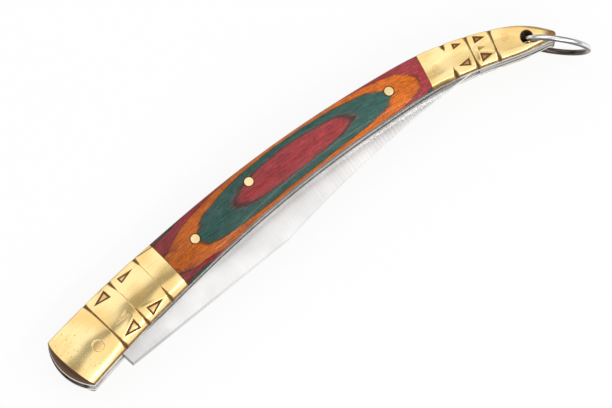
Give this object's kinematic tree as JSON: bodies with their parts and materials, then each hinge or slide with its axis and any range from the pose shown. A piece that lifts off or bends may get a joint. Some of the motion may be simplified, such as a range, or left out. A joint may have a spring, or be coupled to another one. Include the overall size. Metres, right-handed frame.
{
  "type": "folding pocket knife",
  "caption": "Curved slip-joint folding knife: clip-point blade, domed brass bolsters, crowned laminated wood scales, backspring and a wire ring in the tail.",
  "frame": {"origin": "centre of the closed knife's box, at its lowest point", "axes": "+X from the pivot to the tail, +Y from the belly to the back with its spring, +Z through the thickness, along the pivot pin"},
  "size_m": [0.136, 0.0242, 0.0155],
  "materials": {
    "blade_steel": "ground across, satin",
    "spring_steel": "satin, slightly worn",
    "liner_steel": "satin",
    "ring_steel": "bright drawn wire",
    "bolster_brass": "polished, with handling marks",
    "pin_brass": "riveted and ground flush",
    "green_veneer": "dyed dark green, oiled",
    "maroon_veneer": "dyed maroon, oiled",
    "orange_veneer": "dyed orange, oiled",
    "red_veneer": "dyed crimson, oiled"
  },
  "bodies": {
    "handle": {"backspring": "spring_steel", "front_bolster_bottom": "bolster_brass", "front_bolster_top": "bolster_brass", "front_scale_rivet_bottom": "pin_brass", "front_scale_rivet_top": "pin_brass", "liner_bottom": "liner_steel", "liner_top": "liner_steel", "pivot_pin": "pin_brass", "rear_bolster_bottom": "bolster_brass", "rear_bolster_pin": "pin_brass", "rear_bolster_top": "bolster_brass", "rear_scale_pin": "pin_brass", "scale_green_base_bottom": "green_veneer", "scale_green_base_top": "green_veneer", "scale_green_bottom": "green_veneer", "scale_green_top": "green_veneer", "scale_maroon_bottom": "maroon_veneer", "scale_maroon_top": "maroon_veneer", "scale_orange_bottom": "orange_veneer", "scale_orange_top": "orange_veneer", "scale_red_bottom": "red_veneer", "scale_red_top": "red_veneer", "spring_pin": "pin_brass", "tail_pin": "pin_brass"},
    "blade": {"blade": "blade_steel"},
    "ring": {"lanyard_ring": "ring_steel"}
  },
  "joints": [
    {"name": "blade_pivot", "type": "hinge", "parent": "handle", "child": "blade", "pos_m": [-0.05847, -0.00549, 0.00777], "axis": [0, 0, -1], "range_deg": [0, 180], "deforming": ["backspring"]},
    {"name": "ring_swing", "type": "hinge", "parent": "handle", "child": "ring", "pos_m": [0.05693, 0.00168, 0.00777], "axis": [0, 0, 1], "range_deg": [-90, 90]}
  ]
}
